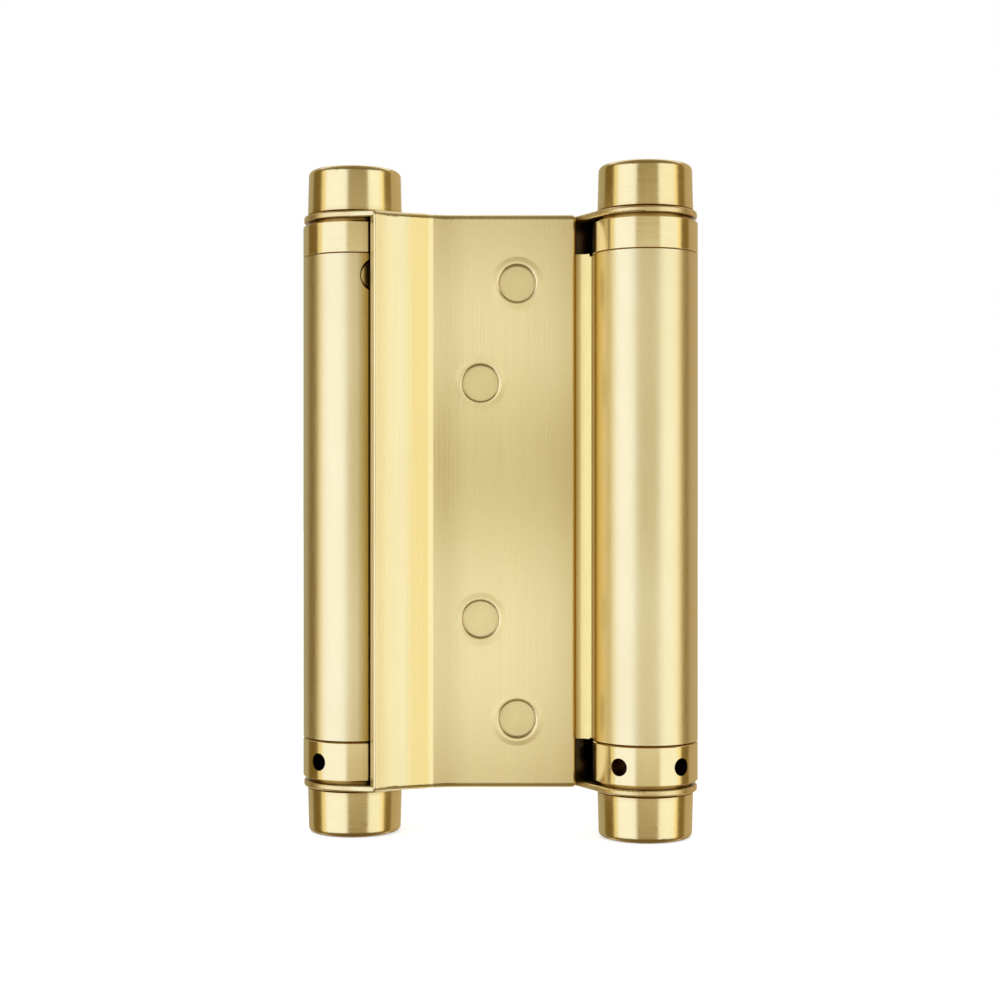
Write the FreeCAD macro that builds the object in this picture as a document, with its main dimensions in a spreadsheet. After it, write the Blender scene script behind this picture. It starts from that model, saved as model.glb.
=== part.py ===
"""Double action spring hinge, 100 mm leaves, folded shut.

X runs along the leaves, Y from the front leaf to the back leaf, Z up the barrels. The origin is the
centre: turning the hinge half round about Z gives the same hinge, so every right hand piece is the
left hand one turned half round. Millimetres.
"""
import FreeCAD, Part
import math
import os

import Sketcher

V = FreeCAD.Vector
UP = V(0, 0, 1)

SIZES = [
    ("sheet_thick", 1.2, "brass sheet of leaves and web"),
    ("leaf_half_high", 50.0, "half the leaf height, ears included"),
    ("leaf_outer_y", 1.85, "depth of a leaf's outer face from the centre"),
    ("leaf_free_edge", 13.5, "free edge of a leaf, from the centre"),
    ("leaf_edge_round", 0.95, "rolled rim of a leaf's outer face"),
    ("leaf_side_round", 0.9, "rolled rim along a leaf's free edge"),
    ("hole_round", 0.35, "rolled rim of the screw holes"),
    ("flare_start", 6.5, "where the flat of a leaf turns into the flare"),
    ("flare_radius", 22.6, "mid sheet radius of the flare"),
    ("flare_end", 21.6, "end of the flare, from the centre"),
    ("flare_round", 0.4, "rolled rim along the flare's end"),
    ("ear_root", 12.6, "far end of the ear's root on the flare"),
    ("ear_radius", 8.95, "round end of an ear"),
    ("ear_round", 0.35, "rolled rims of an ear"),
    ("axis_side", 25.4, "barrel axis from the centre, along X"),
    ("axis_depth", 2.8, "barrel axis from the centre, along Y"),
    ("barrel_radius", 9.1, "outside of the rolled barrel"),
    ("barrel_top", 42.65, "top end of the barrels"),
    ("barrel_bottom", 41.25, "bottom end of the barrels, below the centre"),
    ("web_top", 43.15, "top edge of the web between the barrels"),
    ("web_bottom", 41.5, "bottom edge of the web, below the centre"),
    ("web_bend", 2.0, "inside bend between web and barrel"),
    ("seam_angle", 160.0, "where a rolled barrel ends, round its axis from the right"),
    ("dimple_radius", 3.1, "locking dimple in the barrel wall"),
    ("dimple_height", 38.9, "locking dimple above the centre"),
    ("dimple_angle", 26.0, "locking dimple, round from the front of the left barrel"),
    ("screw_radius", 3.15, "screw hole at the outer face"),
    ("sink_radius", 3.75, "countersink at the inner face"),
    ("screw_side", 3.2, "screw holes either side of the leaf's middle"),
    ("screw_far", 38.0, "outer pair of screw holes from mid height"),
    ("screw_near", 20.6, "inner pair of screw holes from mid height"),
    ("spindle_radius", 3.0, "steel spindle"),
    ("spindle_half", 56.0, "half the spindle length"),
    ("run_gap", 0.05, "running clearance on radius"),
    ("collar_end", 48.3, "outer end of both collars, from mid height"),
    ("collar_edge", 0.25, "broken edge of collars"),
    ("collar_gap", 0.2, "gap between barrel and tension collar"),
    ("spigot_radius", 7.84, "part of plug or collar inside the barrel"),
    ("spigot_end", 33.0, "inner end of the spigots, from mid height"),
    ("pilot_radius", 4.6, "pilot inside the spring"),
    ("pilot_end", 28.0, "inner end of the pilots"),
    ("tommy_radius", 1.52, "tommy bar hole"),
    ("tommy_height", 45.1, "tommy bar holes below mid height"),
    ("tommy_floor", 4.8, "bottom of a tommy bar hole, from the axis"),
    ("left_hole_turn", -39.5, "left tommy bar holes, round from the front"),
    ("right_hole_turn", -34.0, "right tommy bar holes, round from the front"),
    ("wire_inner", 5.1, "inside of the spring coil"),
    ("wire_outer", 7.3, "outside of the spring coil"),
    ("wire_high", 2.2, "spring wire, along the axis"),
    ("spring_end", 32.8, "end coil of the spring, from mid height"),
    ("spring_turns", 12.0, "turns of the spring"),
    ("tang_length", 4.0, "straight end of the spring wire"),
    ("tang_play", 0.3, "play round the spring's end"),
    ("cap_base", 8.3, "cap radius at the ear"),
    ("cap_crown", 8.1, "cap radius at its outer edge"),
    ("cap_end", 58.1, "outer end of a cap, from mid height"),
    ("cap_round", 1.0, "round on the cap's outer edge"),
    ("cap_seat", 0.3, "broken edge of the cap at the ear"),
    ("washer_radius", 8.0, "thrust washer"),
    ("washer_thick", 0.4, "thrust washer"),
]


class Size:
    """A length that keeps its number together with the sheet expression that drives it."""

    def __init__(self, value, text):
        self.value = value
        self.text = text

    def __add__(self, other):
        other = size(other)
        return Size(self.value + other.value, f"({self.text} + {other.text})")

    def __sub__(self, other):
        other = size(other)
        return Size(self.value - other.value, f"({self.text} - {other.text})")

    def __mul__(self, factor):
        return Size(self.value * factor, f"({self.text} * {factor})")

    def __neg__(self):
        return Size(-self.value, f"(-1 * {self.text})")


def size(number):
    return number if isinstance(number, Size) else Size(float(number), str(number))


doc = FreeCAD.newDocument("cafe_hinge")
sheet = doc.addObject("Spreadsheet::Sheet", "Sizes")
for row, (alias, number, note) in enumerate(SIZES, start=1):
    sheet.set(f"A{row}", note)
    sheet.set(f"B{row}", str(number))
    sheet.setAlias(f"B{row}", alias)
doc.recompute()
D = {alias: Size(number, f"Sizes.{alias}") for alias, number, note in SIZES}
ZERO = size(0)
leaf_inner_y = D["leaf_outer_y"] - D["sheet_thick"]
leaf_mid_y = D["leaf_outer_y"] - D["sheet_thick"] * 0.5


def drive(obj, prop, length):
    obj.setExpression(prop, length.text)


def new_body(label):
    body = doc.addObject("PartDesign::Body", label)
    body.Label = label
    return body


def origin_part(body, role):
    return next(f for f in body.Origin.OriginFeatures if f.Role == role)


def new_sketch(body, name, role, offset=ZERO):
    """Sketch on one of the body's own origin planes, moved along its normal by offset."""
    sketch = body.newObject("Sketcher::SketchObject", f"{body.Name}_{name}")
    sketch.AttachmentSupport = [(origin_part(body, role), "")]
    sketch.MapMode = "FlatFace"
    sketch.AttachmentOffset = FreeCAD.Placement(V(0, 0, offset.value), FreeCAD.Rotation())
    if offset is not ZERO:
        drive(sketch, "AttachmentOffset.Base.z", offset)
    return sketch


def bind(sketch, constraint, length):
    index = sketch.addConstraint(constraint)
    name = f"c{index}"
    sketch.renameConstraint(index, name)
    drive(sketch, f"Constraints.{name}", length)


def pin_point(sketch, geo, pos, x, y):
    """Hold a point at driven coordinates."""
    if abs(x.value) < 1e-9:
        sketch.addConstraint(Sketcher.Constraint("PointOnObject", geo, pos, -2))
    else:
        bind(sketch, Sketcher.Constraint("DistanceX", -1, 1, geo, pos, x.value), x)
    if abs(y.value) < 1e-9:
        sketch.addConstraint(Sketcher.Constraint("PointOnObject", geo, pos, -1))
    else:
        bind(sketch, Sketcher.Constraint("DistanceY", -1, 1, geo, pos, y.value), y)


def polygon(sketch, corners):
    """Closed outline of straight edges whose corners are all driven."""
    corners = [(size(x), size(y)) for x, y in corners]
    points = [V(x.value, y.value, 0) for x, y in corners]
    count = len(points)
    edges = [Part.LineSegment(points[i], points[(i + 1) % count]) for i in range(count)]
    ids = sketch.addGeometry(edges, False)
    for i in range(count):
        sketch.addConstraint(Sketcher.Constraint("Coincident", ids[i], 2, ids[(i + 1) % count], 1))
    for i, (x, y) in enumerate(corners):
        pin_point(sketch, ids[i], 1, x, y)


def circle(sketch, x, y, radius):
    x, y = size(x), size(y)
    geo = sketch.addGeometry(Part.Circle(V(x.value, y.value, 0), UP, radius.value), False)
    pin_point(sketch, geo, 3, x, y)
    bind(sketch, Sketcher.Constraint("Radius", geo, radius.value), radius)


def arc(centre, radius, start, end):
    """Arc drawn anticlockwise between two angles in degrees."""
    ring = Part.Circle(V(centre[0], centre[1], 0), UP, radius)
    return Part.ArcOfCircle(ring, math.radians(start), math.radians(end))


def pad(body, sketch, name, length, reverse=False):
    feature = body.newObject("PartDesign::Pad", f"{body.Name}_{name}")
    feature.Profile = sketch
    feature.Length = length.value
    feature.Reversed = reverse
    drive(feature, "Length", length)
    doc.recompute()
    return feature


def pocket(body, sketch, name, length, reverse=False):
    before = body.Shape.Volume
    feature = body.newObject("PartDesign::Pocket", f"{body.Name}_{name}")
    feature.Profile = sketch
    feature.Length = length.value
    feature.Reversed = reverse
    drive(feature, "Length", length)
    doc.recompute()
    if feature.Shape.Volume > before - 1e-3:
        raise RuntimeError(f"{feature.Name} cuts nothing")
    return feature


def turned(body, corners):
    """Solid of revolution about the body's own Z axis from (radius, height) corners."""
    sketch = new_sketch(body, "profile", "XZ_Plane")
    polygon(sketch, corners)
    feature = body.newObject("PartDesign::Revolution", f"{body.Name}_turned")
    feature.Profile = sketch
    feature.ReferenceAxis = (sketch, ["V_Axis"])
    feature.Angle = 360
    doc.recompute()
    return feature


def round_edges(body, name, wanted, radius):
    """Round every edge of the body's tip that the test picks."""
    base = body.Tip
    names = [f"Edge{i}" for i, e in enumerate(base.Shape.Edges, start=1) if wanted(e)]
    if not names:
        raise RuntimeError(f"{body.Name}: no edge for {name}")
    feature = body.newObject("PartDesign::Fillet", f"{body.Name}_{name}")
    feature.Base = (base, names)
    feature.Radius = radius.value
    drive(feature, "Radius", radius)
    doc.recompute()
    return feature


def on_axis(body, side):
    """Set a body made round its own Z axis on the left (-1) or right (+1) barrel axis."""
    spin = FreeCAD.Rotation(UP, 0.0 if side < 0 else 180.0)
    x, y = D["axis_side"] * side, D["axis_depth"] * -side
    body.Placement = FreeCAD.Placement(V(x.value, y.value, 0), spin)
    drive(body, "Placement.Base.x", x)
    drive(body, "Placement.Base.y", y)


def make_leaf(label, turn):
    """Leaf drawn as the front one: flat, flare in front of the left barrel, two ears to its axis."""
    body = new_body(label)
    centre = (-D["flare_start"].value, -leaf_mid_y.value - D["flare_radius"].value)
    radius = D["flare_radius"].value
    end_angle = math.degrees(math.acos((-D["flare_end"].value - centre[0]) / radius))
    root_angle = math.degrees(math.acos((-D["ear_root"].value - centre[0]) / radius))

    spine = new_sketch(body, "spine", "XY_Plane")
    flat = Part.LineSegment(V(D["leaf_free_edge"].value, -leaf_mid_y.value, 0),
                            V(centre[0], -leaf_mid_y.value, 0))
    spine.addGeometry([flat, arc(centre, radius, 90, end_angle)], False)
    spine.addConstraint(Sketcher.Constraint("Horizontal", 0))
    spine.addConstraint(Sketcher.Constraint("Tangent", 0, 2, 1, 1))
    pin_point(spine, 0, 1, D["leaf_free_edge"], -leaf_mid_y)
    bind(spine, Sketcher.Constraint("DistanceX", -1, 1, 1, 3, centre[0]), -D["flare_start"])
    bind(spine, Sketcher.Constraint("Radius", 1, radius), D["flare_radius"])
    bind(spine, Sketcher.Constraint("DistanceX", -1, 1, 1, 2, -D["flare_end"].value), -D["flare_end"])

    section = new_sketch(body, "section", "YZ_Plane", D["leaf_free_edge"])
    front, back = -D["leaf_outer_y"], -leaf_inner_y
    high, rim = D["leaf_half_high"], D["leaf_edge_round"]
    h, r, y0, y1 = high.value, rim.value, front.value, back.value
    section.addGeometry([
        Part.LineSegment(V(y1, -h, 0), V(y1, h, 0)),
        Part.LineSegment(V(y1, h, 0), V(y0 + r, h, 0)),
        arc((y0 + r, h - r), r, 90, 180),
        Part.LineSegment(V(y0, h - r, 0), V(y0, -h + r, 0)),
        arc((y0 + r, -h + r), r, 180, 270),
        Part.LineSegment(V(y0 + r, -h, 0), V(y1, -h, 0)),
    ], False)
    section.addConstraint([
        Sketcher.Constraint("Coincident", 0, 2, 1, 1),
        Sketcher.Constraint("Tangent", 1, 2, 2, 1),
        Sketcher.Constraint("Tangent", 2, 2, 3, 1),
        Sketcher.Constraint("Tangent", 3, 2, 4, 1),
        Sketcher.Constraint("Tangent", 4, 2, 5, 1),
        Sketcher.Constraint("Coincident", 5, 2, 0, 1),
    ])
    pin_point(section, 0, 1, back, -high)
    pin_point(section, 0, 2, back, high)
    for rim_arc, up in ((2, 1), (4, -1)):
        pin_point(section, rim_arc, 3, front + rim, (high - rim) * up)

    folded = body.newObject("PartDesign::AdditivePipe", f"{body.Name}_folded")
    folded.Profile = section
    folded.Spine = (spine, ["Edge1", "Edge2"])
    doc.recompute()

    ear = new_sketch(body, "ear", "XY_Plane", D["leaf_half_high"] - D["sheet_thick"])
    ax, ay = -D["axis_side"].value, D["axis_depth"].value
    ring = D["ear_radius"].value
    tip = on_ring(centre, radius, end_angle)
    root = on_ring(centre, radius, root_angle)
    left = touch_angle((ax, ay), ring, tip, -1)
    right = touch_angle((ax, ay), ring, root, 1)
    left_point, right_point = on_ring((ax, ay), ring, left), on_ring((ax, ay), ring, right)
    ear.addGeometry([
        Part.LineSegment(V(*root), V(*right_point)),
        arc((ax, ay), ring, right, left + 360 if left < right else left),
        Part.LineSegment(V(*left_point), V(*tip)),
        arc(centre, radius, root_angle, end_angle),
    ], False)
    ear.addConstraint([
        Sketcher.Constraint("Tangent", 0, 2, 1, 1),
        Sketcher.Constraint("Tangent", 1, 2, 2, 1),
        Sketcher.Constraint("Coincident", 2, 2, 3, 2),
        Sketcher.Constraint("Coincident", 3, 1, 0, 1),
    ])
    pin_point(ear, 1, 3, -D["axis_side"], D["axis_depth"])
    bind(ear, Sketcher.Constraint("Radius", 1, ring), D["ear_radius"])
    pin_point(ear, 3, 3, -D["flare_start"], -(leaf_mid_y + D["flare_radius"]))
    bind(ear, Sketcher.Constraint("Radius", 3, radius), D["flare_radius"])
    bind(ear, Sketcher.Constraint("DistanceX", -1, 1, 3, 2, tip[0]), -D["flare_end"])
    bind(ear, Sketcher.Constraint("DistanceX", -1, 1, 3, 1, root[0]), -D["ear_root"])
    circle(ear, -D["axis_side"], D["axis_depth"], D["spindle_radius"])
    top_ear = pad(body, ear, "top_ear", D["sheet_thick"])

    both = body.newObject("PartDesign::Mirrored", f"{body.Name}_both_ears")
    both.Originals = [top_ear]
    both.MirrorPlane = (origin_part(body, "XY_Plane"), [""])
    body.Tip = both
    doc.recompute()

    drilling = new_sketch(body, "drilling", "XZ_Plane", leaf_inner_y)
    for up in (1, -1):
        circle(drilling, D["screw_side"], D["screw_far"] * up, D["screw_radius"])
        circle(drilling, -D["screw_side"], D["screw_near"] * up, D["screw_radius"])
    doc.recompute()
    before = body.Shape.Volume
    screws = body.newObject("PartDesign::Hole", f"{body.Name}_screws")
    screws.Profile = drilling
    screws.Reversed = True
    screws.DepthType = "ThroughAll"
    screws.ThreadType = "None"
    drive(screws, "Diameter", D["screw_radius"] * 2)
    screws.HoleCutType = "Countersink"
    drive(screws, "HoleCutDiameter", D["sink_radius"] * 2)
    screws.HoleCutCountersinkAngle = 90
    doc.recompute()
    if screws.Shape.Volume > before - 1.0:
        raise RuntimeError(f"{screws.Name} cuts nothing")

    outer_y = -D["leaf_outer_y"].value
    flare_tip_y = centre[1] + radius * math.sin(math.radians(end_angle))

    def is_free_edge(edge):
        box = edge.BoundBox
        return (box.ZLength > 50 and box.XMin > D["leaf_free_edge"].value - 0.01
                and box.YMax < outer_y + 0.01)

    def is_hole_rim(edge):
        box = edge.BoundBox
        return box.YLength < 1e-4 and abs(box.YMin - outer_y) < 1e-4 and 6 < box.XLength < 7

    def is_ear_rim(edge):
        return (edge.BoundBox.ZLength < 1e-4 and isinstance(edge.Curve, Part.Circle)
                and abs(edge.Curve.Radius - ring) < 1e-4)

    def is_flare_edge(edge):
        box = edge.BoundBox
        return box.ZLength > 50 and box.XLength < 0.01 and box.YMax < flare_tip_y

    round_edges(body, "free_edge", is_free_edge, D["leaf_side_round"])
    round_edges(body, "flare_edge", is_flare_edge, D["flare_round"])
    round_edges(body, "hole_rims", is_hole_rim, D["hole_round"])
    round_edges(body, "ear_rims", is_ear_rim, D["ear_round"])

    body.Placement = FreeCAD.Placement(V(0, 0, 0), FreeCAD.Rotation(UP, turn))
    return body


def on_ring(centre, radius, angle):
    """Point at an angle in degrees on a circle."""
    turn = math.radians(angle)
    return centre[0] + radius * math.cos(turn), centre[1] + radius * math.sin(turn)


def touch_angle(centre, radius, point, hand):
    """Angle on a circle where the tangent from an outside point touches, on the chosen hand."""
    dx, dy = point[0] - centre[0], point[1] - centre[1]
    return math.degrees(math.atan2(dy, dx) + hand * math.acos(radius / math.hypot(dx, dy)))


def make_web():
    """Flat web whose two ends bend aside and roll into barrels, the right one round the front first."""
    body = new_body("web_barrels")
    thick, bend = D["sheet_thick"].value, D["web_bend"].value
    outer = D["barrel_radius"].value
    inner = outer - thick
    side, depth = D["axis_side"].value, D["axis_depth"].value
    half = thick / 2
    bend_y = -(half + bend)
    bend_x = side - math.sqrt((outer + bend) ** 2 - (depth + bend_y) ** 2)
    join = math.degrees(math.atan2(bend_y + depth, bend_x - side)) % 360
    seam = D["seam_angle"].value + 360

    outline = new_sketch(body, "outline", "XY_Plane", -D["web_bottom"])
    parts = []
    for turn in (0.0, 180.0):
        sign = 1.0 if turn == 0.0 else -1.0
        axis = (side * sign, -depth * sign)
        elbow = (bend_x * sign, bend_y * sign)
        parts.append(Part.LineSegment(V(-bend_x * sign, -half * sign, 0), V(bend_x * sign, -half * sign, 0)))
        parts.append(arc(elbow, bend, join - 180 + turn, 90 + turn))
        parts.append(arc(axis, outer, join + turn, seam + turn))
        parts.append(Part.LineSegment(V(*on_ring(axis, outer, seam + turn)),
                                      V(*on_ring(axis, inner, seam + turn))))
        parts.append(arc(axis, inner, join + turn, seam + turn))
        parts.append(arc(elbow, bend + thick, join - 180 + turn, 90 + turn))
    outline.addGeometry(parts, False)
    for first, other in ((0, 6), (6, 0)):
        outline.addConstraint([
            Sketcher.Constraint("Horizontal", first),
            Sketcher.Constraint("Tangent", first, 2, first + 1, 2),
            Sketcher.Constraint("Tangent", first + 1, 1, first + 2, 1),
            Sketcher.Constraint("Coincident", first + 2, 2, first + 3, 1),
            Sketcher.Constraint("Coincident", first + 3, 2, first + 4, 2),
            Sketcher.Constraint("Tangent", first + 4, 1, first + 5, 1),
            Sketcher.Constraint("Tangent", first + 5, 2, other, 1),
            Sketcher.Constraint("Coincident", first + 1, 3, first + 5, 3),
            Sketcher.Constraint("Coincident", first + 2, 3, first + 4, 3),
        ])
        sign = 1 if first == 0 else -1
        pin_point(outline, first + 2, 3, D["axis_side"] * sign, D["axis_depth"] * -sign)
        bind(outline, Sketcher.Constraint("Radius", first + 2, outer), D["barrel_radius"])
        bind(outline, Sketcher.Constraint("Radius", first + 1, bend), D["web_bend"])
        level = D["sheet_thick"] * (-0.5 * sign)
        bind(outline, Sketcher.Constraint("DistanceY", -1, 1, first, 1, level.value), level)
    pad(body, outline, "rolled", D["web_bottom"] + D["web_top"])

    trim_radius = D["barrel_radius"] + 0.6
    for name, offset, depth_of, up in (
            ("top_trim", D["barrel_top"], D["web_top"] - D["barrel_top"], True),
            ("bottom_trim", -D["barrel_bottom"], D["web_bottom"] - D["barrel_bottom"], False)):
        trim = new_sketch(body, name, "XY_Plane", offset)
        circle(trim, D["axis_side"], -D["axis_depth"], trim_radius)
        circle(trim, -D["axis_side"], D["axis_depth"], trim_radius)
        doc.recompute()
        pocket(body, trim, f"{name}_cut", depth_of, reverse=up)

    for side_sign in (-1, 1):
        turn = math.radians(D["dimple_angle"].value - 90 + (0 if side_sign < 0 else 180))
        out = V(math.cos(turn), math.sin(turn), 0)
        axis = V(side * side_sign, -depth * side_sign, D["dimple_height"].value)
        aim = FreeCAD.Rotation(UP, out)
        tag = "left" if side_sign < 0 else "right"
        for kind, name, low, narrow, tall in (
                ("PartDesign::AdditiveCone", "bulge", inner - 0.55, D["dimple_radius"] - 0.9, 0.95),
                ("PartDesign::SubtractiveCone", "dimple", inner + 0.5, D["dimple_radius"] - 0.9, 0.95)):
            cone = body.newObject(kind, f"{tag}_{name}")
            cone.AttachmentSupport = [(origin_part(body, "XY_Plane"), "")]
            cone.MapMode = "FlatFace"
            cone.AttachmentOffset = FreeCAD.Placement(axis + out * low, aim)
            cone.Height = tall
            cone.Radius1 = narrow.value
            cone.Radius2 = D["dimple_radius"].value
            drive(cone, "Radius1", narrow)
            drive(cone, "Radius2", D["dimple_radius"])
            doc.recompute()
    return body


def make_cap(label, side, up):
    body = new_body(label)
    base, end = D["leaf_half_high"], D["cap_end"]
    turned(body, [
        (ZERO, end * up),
        (D["cap_crown"], end * up),
        (D["cap_base"], (base + D["cap_seat"]) * up),
        (D["cap_base"] - D["cap_seat"], base * up),
        (D["spindle_radius"], base * up),
        (D["spindle_radius"], D["spindle_half"] * up),
        (ZERO, D["spindle_half"] * up),
    ])
    rim_height = D["cap_end"].value * up

    def is_rim(edge):
        box = edge.BoundBox
        return abs(box.ZMin - rim_height) < 1e-4 and abs(box.ZMax - rim_height) < 1e-4 and box.XLength > 8
    round_edges(body, "crown", is_rim, D["cap_round"])
    on_axis(body, side)
    return body


def make_plug(label, side):
    """Plain top collar with a spigot fixed in the barrel, a pilot in the spring and a tang slot."""
    body = new_body(label)
    bore = D["spindle_radius"] + D["run_gap"]
    rim, edge = D["barrel_radius"], D["collar_edge"]
    turned(body, [
        (bore, D["pilot_end"]),
        (D["pilot_radius"], D["pilot_end"]),
        (D["pilot_radius"], D["spigot_end"]),
        (D["spigot_radius"], D["spigot_end"]),
        (D["spigot_radius"], D["barrel_top"]),
        (rim - edge, D["barrel_top"]),
        (rim, D["barrel_top"] + edge),
        (rim, D["collar_end"] - edge),
        (rim - edge, D["collar_end"]),
        (bore, D["collar_end"]),
    ])
    slot = new_sketch(body, "slot", "XY_Plane", D["spigot_end"])
    tang_slot(slot, -1)
    pocket(body, slot, "tang_slot", D["tang_length"] + D["tang_play"] * 2, reverse=True)
    turn = math.radians(D["dimple_angle"].value - 90)
    out = V(math.cos(turn), math.sin(turn), 0)
    seat = body.newObject("PartDesign::SubtractiveCylinder", f"{body.Name}_dimple_seat")
    seat.AttachmentSupport = [(origin_part(body, "XY_Plane"), "")]
    seat.MapMode = "FlatFace"
    low = out * 7.0
    seat.AttachmentOffset = FreeCAD.Placement(V(low.x, low.y, D["dimple_height"].value),
                                              FreeCAD.Rotation(UP, out))
    seat.Height = 1.5
    seat.Radius = D["dimple_radius"].value + 0.2
    drive(seat, "Radius", D["dimple_radius"] + 0.2)
    doc.recompute()
    on_axis(body, side)
    return body


def tang_slot(sketch, hand):
    """Slot for the straight end of the spring, beside the +X line of the spring."""
    play = D["tang_play"]
    width = D["wire_outer"] - D["wire_inner"]
    near, far = D["wire_inner"] - play, D["wire_outer"] + play
    low, high = -play, width + play
    polygon(sketch, [(near, low * hand), (far, low * hand), (far, high * hand), (near, high * hand)])


def make_collar(label, side, turn):
    """Tension collar: spigot free in the barrel, five tommy bar holes round the rim."""
    body = new_body(label)
    bore = D["spindle_radius"] + D["run_gap"]
    rim, edge = D["barrel_radius"], D["collar_edge"]
    top = D["barrel_bottom"] + D["collar_gap"]
    turned(body, [
        (bore, -D["collar_end"]),
        (rim - edge, -D["collar_end"]),
        (rim, -(D["collar_end"] - edge)),
        (rim, -(top + edge)),
        (rim - edge, -top),
        (D["spigot_radius"], -top),
        (D["spigot_radius"], -D["spigot_end"]),
        (D["pilot_radius"], -D["spigot_end"]),
        (D["pilot_radius"], -D["pilot_end"]),
        (bore, -D["pilot_end"]),
    ])
    slot = new_sketch(body, "slot", "XY_Plane", -D["spigot_end"])
    tang_slot(slot, 1)
    pocket(body, slot, "tang_slot", D["tang_length"] + D["tang_play"] * 2)
    eye = new_sketch(body, "eye", "XZ_Plane")
    spin = FreeCAD.Rotation(V(0, 1, 0), turn)
    eye.AttachmentOffset = FreeCAD.Placement(spin.multVec(V(0, 0, D["tommy_floor"].value)), spin)
    circle(eye, ZERO, -D["tommy_height"], D["tommy_radius"])
    doc.recompute()
    hole = pocket(body, eye, "tommy_hole", D["barrel_radius"], reverse=True)
    ring = body.newObject("PartDesign::PolarPattern", f"{body.Name}_tommy_holes")
    ring.Originals = [hole]
    ring.Axis = (origin_part(body, "Z_Axis"), [""])
    ring.Angle = 360
    ring.Occurrences = 5
    body.Tip = ring
    doc.recompute()
    on_axis(body, side)
    return body


def make_spring(label, side):
    """Torsion spring of square wire with a straight tang at each end."""
    body = new_body(label)
    section = new_sketch(body, "wire", "XZ_Plane")
    low = -D["spring_end"]
    high = low + D["wire_high"]
    polygon(section, [(D["wire_inner"], low), (D["wire_outer"], low),
                      (D["wire_outer"], high), (D["wire_inner"], high)])
    coil = body.newObject("PartDesign::AdditiveHelix", f"{body.Name}_coil")
    coil.Profile = section
    coil.ReferenceAxis = (section, ["V_Axis"])
    coil.Mode = "height-turns-angle"
    drive(coil, "Height", D["spring_end"] * 2 - D["wire_high"])
    drive(coil, "Turns", D["spring_turns"])
    doc.recompute()
    width = D["wire_outer"] - D["wire_inner"]
    for name, level, hand, reverse in (("lower", high, 1, True), ("upper", -high, -1, False)):
        foot = new_sketch(body, f"{name}_tang", "XY_Plane", level)
        polygon(foot, [(D["wire_inner"], ZERO), (D["wire_outer"], ZERO),
                       (D["wire_outer"], width * hand), (D["wire_inner"], width * hand)])
        pad(body, foot, f"{name}_tang_bar", D["tang_length"] + D["wire_high"], reverse)
    on_axis(body, side)
    return body


def make_spindle(label, side):
    body = new_body(label)
    radius, half, chamfer = D["spindle_radius"], D["spindle_half"], 0.4
    turned(body, [
        (ZERO, -half), (radius - chamfer, -half), (radius, -half + chamfer),
        (radius, half - chamfer), (radius - chamfer, half), (ZERO, half),
    ])
    on_axis(body, side)
    return body


def make_washer(label, side, up):
    body = new_body(label)
    bore = D["spindle_radius"] + D["run_gap"]
    seat = D["leaf_half_high"] - D["sheet_thick"]
    face = seat - D["washer_thick"]
    turned(body, [
        (bore, face * up), (D["washer_radius"], face * up),
        (D["washer_radius"], seat * up), (bore, seat * up),
    ])
    on_axis(body, side)
    return body


bodies = [make_leaf("front_leaf", 0.0), make_leaf("back_leaf", 180.0), make_web()]
for name, side in (("left", -1), ("right", 1)):
    bodies.append(make_spindle(f"{name}_spindle", side))
    bodies.append(make_plug(f"{name}_top_plug", side))
    bodies.append(make_spring(f"{name}_spring", side))
    for end, up in (("top", 1), ("bottom", -1)):
        bodies.append(make_cap(f"{name}_{end}_cap", side, up))
        bodies.append(make_washer(f"{name}_{end}_washer", side, up))
bodies.append(make_collar("left_tension_collar", -1, D["left_hole_turn"].value))
bodies.append(make_collar("right_tension_collar", 1, D["right_hole_turn"].value - 180.0))
doc.recompute()

for obj in doc.Objects:
    if "Invalid" in obj.State or "Error" in obj.State:
        raise RuntimeError(f"{obj.Name} is {obj.State}")
for body in bodies:
    shape = body.Shape
    if shape.isNull() or not shape.isValid() or len(shape.Solids) != 1:
        raise RuntimeError(f"{body.Label} has no sound single solid")

os.makedirs("parts", exist_ok=True)
for body in bodies:
    body.Shape.exportStep(f"parts/{body.Label}.step")
    box = body.Shape.BoundBox
    print(f"{body.Label}: volume {body.Shape.Volume:.1f}, "
          f"x {box.XMin:.2f}..{box.XMax:.2f}, y {box.YMin:.2f}..{box.YMax:.2f}, "
          f"z {box.ZMin:.2f}..{box.ZMax:.2f}")
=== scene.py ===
"""Looks of the double action cafe hinge: satin brass, studio light and the photograph's view."""

import math

import bpy
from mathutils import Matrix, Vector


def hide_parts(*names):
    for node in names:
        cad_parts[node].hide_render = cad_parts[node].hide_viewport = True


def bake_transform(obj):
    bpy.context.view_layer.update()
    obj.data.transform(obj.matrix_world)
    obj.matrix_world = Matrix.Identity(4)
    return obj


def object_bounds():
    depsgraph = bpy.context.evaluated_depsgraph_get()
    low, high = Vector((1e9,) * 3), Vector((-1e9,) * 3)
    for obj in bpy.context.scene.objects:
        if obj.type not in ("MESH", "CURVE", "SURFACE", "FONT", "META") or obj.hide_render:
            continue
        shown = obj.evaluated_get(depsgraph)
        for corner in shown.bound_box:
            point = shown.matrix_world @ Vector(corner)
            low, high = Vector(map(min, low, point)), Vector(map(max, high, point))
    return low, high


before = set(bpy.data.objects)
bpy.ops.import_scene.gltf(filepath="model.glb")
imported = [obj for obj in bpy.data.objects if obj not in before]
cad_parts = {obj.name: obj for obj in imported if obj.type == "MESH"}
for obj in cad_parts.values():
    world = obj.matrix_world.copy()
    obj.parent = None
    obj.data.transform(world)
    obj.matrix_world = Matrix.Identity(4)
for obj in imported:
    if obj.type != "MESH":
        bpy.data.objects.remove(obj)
cad_low, cad_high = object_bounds()

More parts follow.
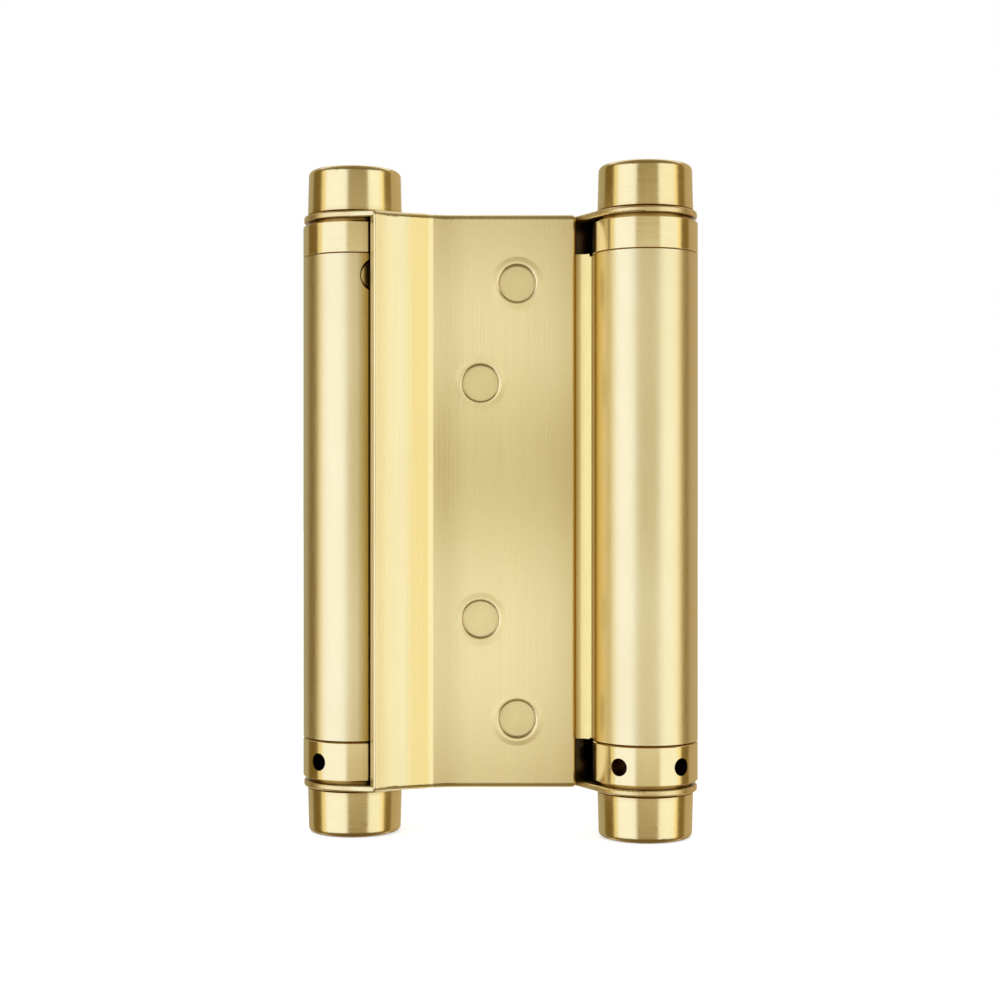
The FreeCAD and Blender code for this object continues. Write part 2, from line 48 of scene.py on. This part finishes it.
MM = 0.001
BARREL_SIDE = 25.4 * MM
BARREL_DEPTH = 2.8 * MM
FAR_HOLE = (-3.2 * MM, 38.0 * MM, 0.0)
NEAR_HOLE = (3.2 * MM, 20.6 * MM, 0.0)

# Soft edges, from 0 to 1, and bands between two of them. All are in mm: along a leaf towards its
# own barrel, out from a barrel's axis, or out from the middle of a screw hole.
BEND_RISE = (16.4, 11.4)
EAR_REACH = (9.3, 9.0)
BARREL_WALL = (9.4, 9.15)
FLAT_WEB = (11.7, 12.5)
# Painted highlight: the middle of each leaf is made lighter.
PAINTED_LIGHT_MIDDLE = ((-11.5, -2.0), (5.0, 9.0))
# A painted highlight line beside a leaf's bend.
PAINTED_HIGHLIGHT_LINE = ((11.2, 11.6), (12.0, 12.4))
# A leaf's bend: smoother, as burnished, and with a painted golden reflection.
BURNISH_AND_REFLECTION_BAND = ((11.9, 12.4), (14.9, 16.4))
STRIP_BAND = ((9.15, 9.4), (11.1, 12.2))
HOLE_RIM = ((3.2, 3.7), (3.8, 4.6))

# Soft edges by direction: the outward lean of a leaf's face, and the cosine and sine of the angle
# round a barrel, where cosine -1 faces the other barrel.
INNER_FACE = (-0.3, -0.7)
CREASE_COSINE = (-0.73, -0.94)
# Where the leaf's flare casts its painted shadow on a barrel.
FLARE_SHADOW_COSINE = ((-0.12, -0.28), (-0.62, -0.30))
FLARE_SHADOW_SINE = (0.3, 0.7)

# The slant to which the strip's normal is drawn, how far, and from what likeness on.
STRIP_SLANT = (-0.31, -0.95, 0.0)
STRIP_DRAW = 0.75
STRIP_FACING = (0.2, 0.6)

# Heights that are only shaded.
BEND_HEIGHT = 0.5 * MM
RIM_HEIGHT = 0.05 * MM
GRAIN_HEIGHT = 0.02 * MM

# Grains to the metre, by axis. Rings are set out by radius, angle and height.
LONG_GRAIN = (6500.0, 6500.0, 24.0)
SHORT_GRAIN = (5600.0, 5600.0, 300.0)
RINGS = (5200.0, 1.2, 5200.0)
BLOOM = (90.0, 90.0, 45.0)

# Painted highlight: lighter brass for a leaf's middle and for the web's flat seen through the screw
# holes.
PAINTED_LIGHT_BRASS = (0.98, 0.845, 0.515)
# Painted reflection: the golden band along a leaf's bend.
BEND_REFLECTION_BRASS = (0.84, 0.65, 0.28)
# Painted highlight: the bright line beside a leaf's bend.
HIGHLIGHT_LINE_BRASS = (0.95, 0.78, 0.42)
# The unpolished inner face of a leaf, made darker still by painted shade.
INNER_RAW_AND_SHADE_BRASS = (0.46, 0.36, 0.20)
# Painted shade: the ears, wrapped round the barrels between cap and collar, are darker.
EAR_SHADE_BRASS = (0.80, 0.63, 0.34)
# The golden tint of the strip inside a barrel's bend.
STRIP_BRASS = (0.86, 0.69, 0.30)
# Painted reflection: the warm, darker gold on a barrel's side that faces the other barrel.
CREASE_REFLECTION_BRASS = (0.66, 0.43, 0.06)
# Painted shadow of the leaf's flare on the barrel beside it.
FLARE_SHADOW_BRASS = (0.50, 0.33, 0.08)
# Painted shade: the near-black that the deepest hollows are painted.
BLACK_SHADE = (0.012, 0.010, 0.010)
WHITE = (1.0, 1.0, 1.0, 1.0)

# Painted shade of the hollows: the openness, from 0 in a hollow to 1 in the open, at which it is full
# and at which it ends, and how much of each channel it leaves.
FULL_SHADE = 0.35
NO_SHADE = 0.92
SHADE_SHARE = (0.60, 0.42, 0.10)


def put(tree, kind, inputs=None, **options):
    """Adds one node to a tree, sets its options, and fills or links its inputs."""
    made = tree.nodes.new("ShaderNode" + kind)
    for option, value in options.items():
        setattr(made, option, value)
    for key, value in (inputs or {}).items():
        if isinstance(value, bpy.types.NodeSocket):
            tree.links.new(value, made.inputs[key])
        else:
            made.inputs[key].default_value = value
    return made


def empty_material(name):
    """A new material and its node tree, with nothing in it."""
    material = bpy.data.materials.new(name)
    material.use_nodes = True
    material.node_tree.nodes.clear()
    return material, material.node_tree


def reckon(tree, operation, *values):
    """One step of arithmetic on numbers."""
    return put(tree, "Math", dict(enumerate(values)), operation=operation).outputs[0]


def measure(tree, operation, *vectors):
    """One number from vectors: a length, a distance or a dot product."""
    return put(tree, "VectorMath", dict(enumerate(vectors)), operation=operation).outputs["Value"]


def split(tree, vector):
    """The three numbers of a vector."""
    return put(tree, "SeparateXYZ", {0: vector}).outputs[:]


def join(tree, *numbers):
    """A vector from three numbers."""
    return put(tree, "CombineXYZ", dict(enumerate(numbers))).outputs[0]


def ramp(tree, factor, low, high):
    """Stretches the part of a factor between low and high to 0..1."""
    return put(tree, "MapRange", {0: factor, 1: low, 2: high, 3: 0.0, 4: 1.0}).outputs[0]


def span(tree, factor, start, end):
    """Turns a 0..1 factor into a number between start and end."""
    return put(tree, "MapRange", {0: factor, 1: 0.0, 2: 1.0, 3: start, 4: end}).outputs[0]


def edge(tree, length, ends):
    """0..1 across a soft edge whose ends are in mm."""
    return ramp(tree, length, ends[0] * MM, ends[1] * MM)


def band(tree, length, edges):
    """1 where a length lies between two soft edges."""
    begin, stop = edges
    return reckon(tree, "MULTIPLY", edge(tree, length, begin), edge(tree, length, stop[::-1]))


def tint(tree, factor, start, end):
    """Mixes two colours by a factor."""
    made = put(tree, "Mix", {"Factor": factor}, data_type="RGBA")
    for at, colour in ((6, start), (7, end)):
        if isinstance(colour, bpy.types.NodeSocket):
            tree.links.new(colour, made.inputs[at])
        else:
            made.inputs[at].default_value = (*colour, 1.0)
    return made.outputs[2]


def noise(tree, place, per_metre, rough):
    """Noise whose grain is set apart for each axis, in grains to the metre."""
    scaled = put(tree, "VectorMath", {0: place, 1: per_metre}, operation="MULTIPLY").outputs[0]
    return put(tree, "TexNoise", {"Vector": scaled, "Scale": 1.0, "Detail": 3.0,
                                  "Roughness": rough}).outputs[0]


def bump(tree, height, depth, strength=1.0, under=None):
    """A normal that follows a height, on top of the normal under it where there is one."""
    inputs = {"Strength": strength, "Distance": depth, "Height": height}
    if under is not None:
        inputs["Normal"] = under
    return put(tree, "Bump", inputs).outputs[0]


def barrel_place(tree, place):
    """Distance from the nearer barrel's axis, angle round it, and height."""
    x, y, z = split(tree, place)
    side = reckon(tree, "SIGN", x)
    across = reckon(tree, "SUBTRACT", reckon(tree, "MULTIPLY", x, side), BARREL_SIDE)
    depth = reckon(tree, "ADD", reckon(tree, "MULTIPLY", y, side), BARREL_DEPTH)
    radius = measure(tree, "LENGTH", join(tree, across, depth, 0.0))
    return radius, reckon(tree, "ARCTAN2", depth, across), z


def leaf_place(tree, place):
    """Distance along a leaf towards its own barrel, outward lean of its face, and height."""
    x, y, z = split(tree, place)
    face = split(tree, put(tree, "TexCoord").outputs["Normal"])[1]
    side = reckon(tree, "SIGN", y)
    return reckon(tree, "MULTIPLY", x, side), reckon(tree, "MULTIPLY", face, side), z


def punched_rims(tree, along, height):
    """The slight ridge that punching leaves round the screw holes of a leaf."""
    spot = join(tree, along, reckon(tree, "ABSOLUTE", height), 0.0)
    far, near = (measure(tree, "DISTANCE", spot, hole) for hole in (FAR_HOLE, NEAR_HOLE))
    return band(tree, reckon(tree, "MINIMUM", far, near), HOLE_RIM)


def bend_rise(tree, along):
    """The lift of a leaf's bend, steep where it leaves the flat and easing out in the flare."""
    left_over = edge(tree, along, BEND_RISE)
    return reckon(tree, "SUBTRACT", 1.0, reckon(tree, "MULTIPLY", left_over, left_over))


def strip_normal(tree, place, strip):
    """The surface's own normal, drawn towards one slant on the strip inside the bend."""
    own = put(tree, "TexCoord").outputs["Normal"]
    side = reckon(tree, "SIGN", split(tree, place)[0])
    slant = put(tree, "VectorMath", {0: STRIP_SLANT, 3: side}, operation="SCALE").outputs[0]
    facing = ramp(tree, measure(tree, "DOT_PRODUCT", own, slant), *STRIP_FACING)
    amount = span(tree, reckon(tree, "MULTIPLY", facing, strip), 0.0, STRIP_DRAW)
    drawn = put(tree, "Mix", {0: amount, 4: own, 5: slant}, data_type="VECTOR").outputs[1]
    return put(tree, "VectorTransform", {0: drawn}, vector_type="NORMAL", convert_from="OBJECT",
               convert_to="WORLD").outputs[0]


def dress_leaf(tree, place, look):
    """Paints a leaf's light and shade: a highlight on its middle, a reflection and a highlight line on
    its bend, shade on its ears and unpolished inner face, black shade in its hollows. Lifts its bend and
    rims.
    """
    along, outward, height = leaf_place(tree, place)
    radius = barrel_place(tree, place)[0]
    bend_burnish_and_reflection = band(tree, along, BURNISH_AND_REFLECTION_BAND)
    inside = ramp(tree, outward, *INNER_FACE)
    for zone, brass in (
        (band(tree, along, PAINTED_LIGHT_MIDDLE), PAINTED_LIGHT_BRASS),
        (bend_burnish_and_reflection, BEND_REFLECTION_BRASS),
        (band(tree, along, PAINTED_HIGHLIGHT_LINE), HIGHLIGHT_LINE_BRASS),
        (inside, INNER_RAW_AND_SHADE_BRASS),
        (edge(tree, radius, EAR_REACH), EAR_SHADE_BRASS),
    ):
        look["colour"] = tint(tree, zone, look["colour"], brass)
    smooth = reckon(tree, "MULTIPLY", bend_burnish_and_reflection, 0.05)
    look["roughness"] = reckon(tree, "SUBTRACT", look["roughness"], smooth)
    # Painted shade: the inner face goes black sooner in the hollows.
    look["black_shade"] = (span(tree, inside, 0.02, 0.30), span(tree, inside, 0.2, 0.80))
    lifted = bump(tree, bend_rise(tree, along), BEND_HEIGHT)
    look["normal"] = bump(tree, punched_rims(tree, along, height), RIM_HEIGHT, under=lifted)


def dress_web(tree, place, look):
    """Paints light and shade on the web and its barrels: a lighter flat, a warm reflection in the crease
    and the flare's shadow, and a golden strip; keeps the shade of the hollows off the flat and the
    strip.
    """
    radius, angle, _ = barrel_place(tree, place)
    cosine, sine = reckon(tree, "COSINE", angle), reckon(tree, "SINE", angle)
    rolled = edge(tree, radius, BARREL_WALL)
    strip = band(tree, radius, STRIP_BAND)
    flat = edge(tree, radius, FLAT_WEB)
    # Painted reflection on the barrel's side that faces the other barrel.
    crease_reflection = reckon(tree, "MULTIPLY", rolled, ramp(tree, cosine, *CREASE_COSINE))
    begin, stop = (ramp(tree, cosine, *ends) for ends in FLARE_SHADOW_COSINE)
    beside = reckon(tree, "MULTIPLY", begin, stop)
    flare_shadow = reckon(tree, "MULTIPLY", beside, ramp(tree, sine, *FLARE_SHADOW_SINE))
    for zone, brass in (
        (flat, PAINTED_LIGHT_BRASS),
        (strip, STRIP_BRASS),
        (crease_reflection, CREASE_REFLECTION_BRASS),
        (flare_shadow, FLARE_SHADOW_BRASS),
    ):
        look["colour"] = tint(tree, zone, look["colour"], brass)
    # The strip, and the flat in part, are kept clear of the painted shade of the hollows.
    for kept_open in (strip, span(tree, flat, 0.0, 0.86)):
        look["openness"] = reckon(tree, "MAXIMUM", look["openness"], kept_open)
    # On the barrel walls the painted shade reaches further into the open.
    look["shade_end"] = span(tree, rolled, NO_SHADE, 1.0)
    look["normal"] = strip_normal(tree, place, strip)


def metal(name, pale, deep, rough, lines, relief, turned=False, dress=None, hollow=1.2 * MM,
          black_shade=(0.02, 0.4), **extra):
    """Satin metal: two tints mixed by a soft bloom, brush lines in the sheen, painted shade in the
    hollows.

    A turned piece has its lines round its barrel. dress changes the look of one sheet by its zones.
    """
    material, tree = empty_material(name)
    place = put(tree, "TexCoord").outputs["Object"]
    brushed = join(tree, *barrel_place(tree, place)) if turned else place
    streak = noise(tree, brushed, lines, 0.6)
    bloom = noise(tree, place, BLOOM, 0.5)
    base = tint(tree, ramp(tree, bloom, 0.3, 0.7), deep, pale)
    look = {
        "colour": tint(tree, ramp(tree, streak, 0.35, 0.75), base, pale),
        "roughness": span(tree, ramp(tree, streak, 0.3, 0.7), rough - 0.04, rough + 0.05),
        "openness": put(tree, "AmbientOcclusion", {"Distance": hollow}, samples=6).outputs["AO"],
        "shade_end": NO_SHADE,
        "black_shade": black_shade,
        "normal": None,
    }
    if dress:
        dress(tree, place, look)

    openness = look["openness"]
    # Painted shade: the colour darkens towards the hollows, by ambient occlusion.
    shade_colour = [channel * share for channel, share in zip(deep, SHADE_SHARE)]
    unshaded = ramp(tree, openness, FULL_SHADE, look["shade_end"])
    colour = tint(tree, unshaded, shade_colour, look["colour"])
    # Painted shade: the deepest hollows go black.
    colour = tint(tree, ramp(tree, openness, *look["black_shade"]), BLACK_SHADE, colour)
    shader = put(tree, "BsdfPrincipled", {
        "Base Color": colour, "Metallic": 1.0, "Roughness": look["roughness"],
        "Normal": bump(tree, streak, GRAIN_HEIGHT, relief, look["normal"]),
        "Coat Weight": 0.25, "Coat Roughness": 0.22, **extra,
    })
    put(tree, "OutputMaterial", {"Surface": shader.outputs[0]})
    return material


FINISHES = {
    "leaf_brass": metal(
        "leaf_brass", (0.90, 0.77, 0.47), (0.85, 0.70, 0.40), rough=0.29, lines=LONG_GRAIN,
        relief=0.045, dress=dress_leaf, hollow=8.0 * MM, Anisotropic=0.5),
    "barrel_brass": metal(
        "barrel_brass", (0.88, 0.76, 0.49), (0.83, 0.69, 0.41), rough=0.31, lines=SHORT_GRAIN,
        relief=0.045, dress=dress_web, hollow=5.0 * MM, black_shade=(0.02, 0.1)),
    "cap_brass": metal(
        "cap_brass", (0.86, 0.72, 0.42), (0.80, 0.64, 0.34), rough=0.19, lines=RINGS,
        relief=0.16, turned=True),
    "collar_brass": metal(
        "collar_brass", (0.84, 0.71, 0.43), (0.78, 0.63, 0.35), rough=0.17, lines=RINGS,
        relief=0.16, turned=True, hollow=4.0 * MM),
    "washer_brass": metal(
        "washer_brass", (0.78, 0.61, 0.32), (0.66, 0.49, 0.22), rough=0.3, lines=RINGS,
        relief=0.2, turned=True),
    "spindle_steel": metal(
        "spindle_steel", (0.56, 0.55, 0.53), (0.42, 0.41, 0.40), rough=0.28, lines=RINGS,
        relief=0.2, turned=True),
    "spring_steel": metal(
        "spring_steel", (0.40, 0.39, 0.38), (0.26, 0.25, 0.25), rough=0.36, lines=RINGS,
        relief=0.2, turned=True),
}

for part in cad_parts.values():
    for spot in part.material_slots:
        spot.material = FINISHES[spot.material.name.split(".")[0]]


def wind_spring(side):
    """A copy of a spring's mesh, put in place of the rigid one, with its transform baked in."""
    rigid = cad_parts[side + "_spring"]
    spring = bpy.data.objects.new(side + "_wound_spring", rigid.data.copy())
    bpy.context.collection.objects.link(spring)
    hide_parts(side + "_spring")
    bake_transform(spring)


wind_spring("left")
wind_spring("right")


def seen_rays(tree):
    """1 for the rays that look at the background: straight, mirrored or through glass."""
    path = put(tree, "LightPath").outputs
    seen = reckon(tree, "MAXIMUM", path["Is Camera Ray"], path["Is Glossy Ray"])
    return reckon(tree, "MAXIMUM", seen, path["Is Transmission Ray"])


def make_world():
    """A white room, a little dimmer as light than it looks."""
    world = bpy.data.worlds.new("white_room")
    bpy.context.scene.world = world
    world.use_nodes = True
    tree = world.node_tree
    tree.nodes.clear()
    level = span(tree, seen_rays(tree), 0.7, 1.0)
    sky = put(tree, "Background", {"Color": WHITE, "Strength": level}).outputs[0]
    put(tree, "OutputWorld", {"Surface": sky})


def make_floor():
    """A pale floor under the hinge, which glows to the camera so that it joins the white room."""
    bpy.ops.mesh.primitive_plane_add(size=6.0, location=(0.0, 0.0, cad_low[2]))
    floor = bpy.context.object
    floor.name = "floor"
    material, tree = empty_material("floor_white")
    paper = put(tree, "BsdfDiffuse", {"Color": (0.82, 0.82, 0.82, 1.0)}).outputs[0]
    glow = put(tree, "Emission", {"Color": WHITE, "Strength": 0.62}).outputs[0]
    bright = put(tree, "AddShader", {0: paper, 1: glow}).outputs[0]
    mixed = put(tree, "MixShader", {0: seen_rays(tree), 1: paper, 2: bright}).outputs[0]
    put(tree, "OutputMaterial", {"Surface": mixed})
    floor.data.materials.append(material)
    floor.visible_glossy = False


def make_camera():
    """The photograph's view: straight on, at the height of the hinge's middle."""
    lens = bpy.data.cameras.new("camera")
    lens.sensor_width = 36.0
    lens.lens = 64.1
    lens.clip_start = 0.01
    lens.clip_end = 20.0
    camera = bpy.data.objects.new("camera", lens)
    bpy.context.collection.objects.link(camera)
    camera.location = (0.0002, -0.312, 0.0002)
    camera.rotation_euler = (math.radians(90.0), 0.0, 0.0)
    bpy.context.scene.camera = camera


def aim(thing, azimuth, height, distance):
    """Sets a lamp or card round the hinge, facing it.

    Azimuth 0 is the camera's side, and positive is to the camera's right.
    """
    turn = math.radians(azimuth)
    thing.location = (math.sin(turn) * distance, -math.cos(turn) * distance, height)
    thing.rotation_mode = "QUATERNION"
    thing.rotation_quaternion = thing.location.to_track_quat("Z", "Y")


def glowing_board(name, wide, high, colour):
    """A board that the brass mirrors, kept out of the camera's sight."""
    bpy.ops.mesh.primitive_plane_add(size=1.0)
    board = bpy.context.object
    board.name = name
    board.scale = (wide, high, 1.0)
    material, tree = empty_material(name)
    paint = put(tree, "Emission", {"Color": (*colour, 1.0), "Strength": 1.0}).outputs[0]
    put(tree, "OutputMaterial", {"Surface": paint})
    board.data.materials.append(material)
    board.visible_camera = False
    board.visible_diffuse = False
    board.visible_shadow = False
    return board


def card(name, place, wide, high, colour):
    """An upright board round the hinge. place is its azimuth, height and distance."""
    aim(glowing_board(name, wide, high, colour), *place)


def level_board(name, height, near, far, colour):
    """A level board over or under the hinge, from near to far along Y."""
    board = glowing_board(name, 4.4, far - near, colour)
    board.location = (0.0, (near + far) / 2.0, height)


def softbox(name, azimuth, distance, wide, high, colour):
    """A lamp for the floor's soft shadow, and its glowing front for the brass to mirror."""
    lamp = bpy.data.lights.new(name, "AREA")
    lamp.shape = "RECTANGLE"
    lamp.size = wide
    lamp.size_y = high
    lamp.energy = wide * high * 0.8
    box = bpy.data.objects.new(name, lamp)
    bpy.context.collection.objects.link(box)
    aim(box, azimuth, 0.3, distance)
    box.visible_camera = False
    box.visible_glossy = False
    card(name + "_front", (azimuth, 0.0, distance), wide, high, colour)


FRONT = 6.2
PALE_FRONT = (0.96, 0.96, 0.83)
FAR_DARK = (0.19, 0.15, 0.07)
NEAR_DARK = (0.32, 0.26, 0.14)

# Name, place, width, height and colour of each card.
CARDS = (
    ("left_warm_edge", (-80.0, 0.0, 1.0), 0.22, 1.1, (1.03, 0.91, 0.49)),
    ("right_warm_edge", (75.5, 0.0, 1.0), 0.16, 1.1, (1.22, 1.06, 0.60)),
    ("front_apron", (FRONT, 0.0, 0.246), 0.233, 0.4, (0.28, 0.22, 0.11)),
    ("front_card", (FRONT, 0.0, 0.243), 0.233, 0.21, (0.48, 0.41, 0.17)),
    ("front_upper", (FRONT, 0.0525, 0.232), 0.224, 0.045, PALE_FRONT),
    ("front_lower", (FRONT, -0.0425, 0.232), 0.224, 0.065, PALE_FRONT),
    ("front_top", (FRONT, 0.09, 0.226), 0.219, 0.03, (0.60, 0.52, 0.33)),
    ("front_foot", (FRONT, -0.09, 0.226), 0.219, 0.03, (0.68, 0.59, 0.38)),
    ("left_flag", (-103.0, 0.0, 1.0), 0.61, 1.8, (0.20, 0.13, 0.03)),
    ("right_flag", (92.5, 0.0, 1.0), 0.44, 1.8, (0.24, 0.16, 0.04)),
    ("left_wall", (-143.5, 0.0, 1.0), 0.96, 1.8, (0.46, 0.41, 0.26)),
    ("right_wall", (135.0, 0.0, 1.0), 1.15, 1.8, (0.56, 0.45, 0.27)),
)

make_world()
make_floor()
make_camera()
softbox("left_softbox", -48.0, 1.0, 1.56, 1.1, (1.19, 1.28, 1.42))
softbox("right_softbox", 50.0, 1.0, 1.15, 1.1, (1.17, 1.23, 1.19))
for upright in CARDS:
    card(*upright)
for word, height in (("ceiling", 1.1), ("low", -1.1)):
    level_board(word + "_front", height, -2.2, -0.5, FAR_DARK)
    level_board(word + "_middle", height, -0.5, 0.3, NEAR_DARK)
bpy.context.scene.view_settings.view_transform = "Standard"
